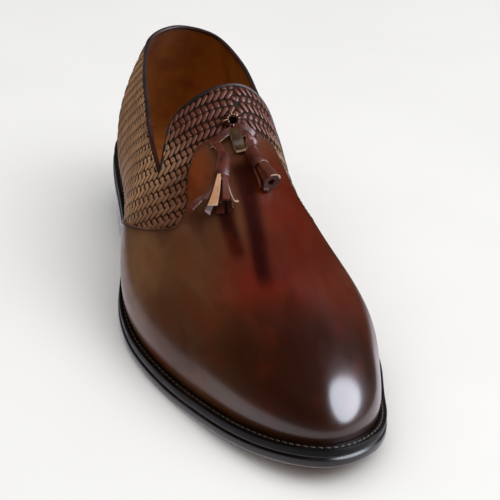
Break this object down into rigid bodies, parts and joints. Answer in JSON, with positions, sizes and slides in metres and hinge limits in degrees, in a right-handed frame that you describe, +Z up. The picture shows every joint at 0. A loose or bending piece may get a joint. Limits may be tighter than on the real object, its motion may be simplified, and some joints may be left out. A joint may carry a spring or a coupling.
{
  "type": "tassel loafer",
  "caption": "Slip-on dress shoe for the right foot: smooth vamp over a woven back part, tassels on the instep, welted leather sole and stacked heel.",
  "frame": {"origin": "on the floor, at the middle of the sole's length and width", "axes": "+Z up, the toe points to -Y, the medial side is at +X"},
  "size_m": [0.1082, 0.302, 0.1052],
  "materials": {
    "sole_leather": "tan sole leather, waxed, with a dark edge",
    "welt_leather": "near-black, polished",
    "lining_leather": "plain tan, matt",
    "upper_leather": "burnished brown, polished; woven behind the seam",
    "heel_leather": "stacked lifts, dark, polished",
    "top_piece_leather": "grey-violet, smooth",
    "top_piece_rubber": "slate, matt",
    "tassel_leather": "brown, semi-gloss, pale cut edges"
  },
  "bodies": {
    "root": {"outsole": "sole_leather", "welt": "welt_leather", "insole": "lining_leather", "upper": "upper_leather", "heel_lift_1": "heel_leather", "heel_lift_2": "heel_leather", "heel_lift_3": "heel_leather", "heel_top_leather": "top_piece_leather", "heel_top_rubber": "top_piece_rubber", "tassel_lateral": "tassel_leather", "tassel_medial": "tassel_leather", "tassel_tie": "tassel_leather"}
  },
  "joints": []
}
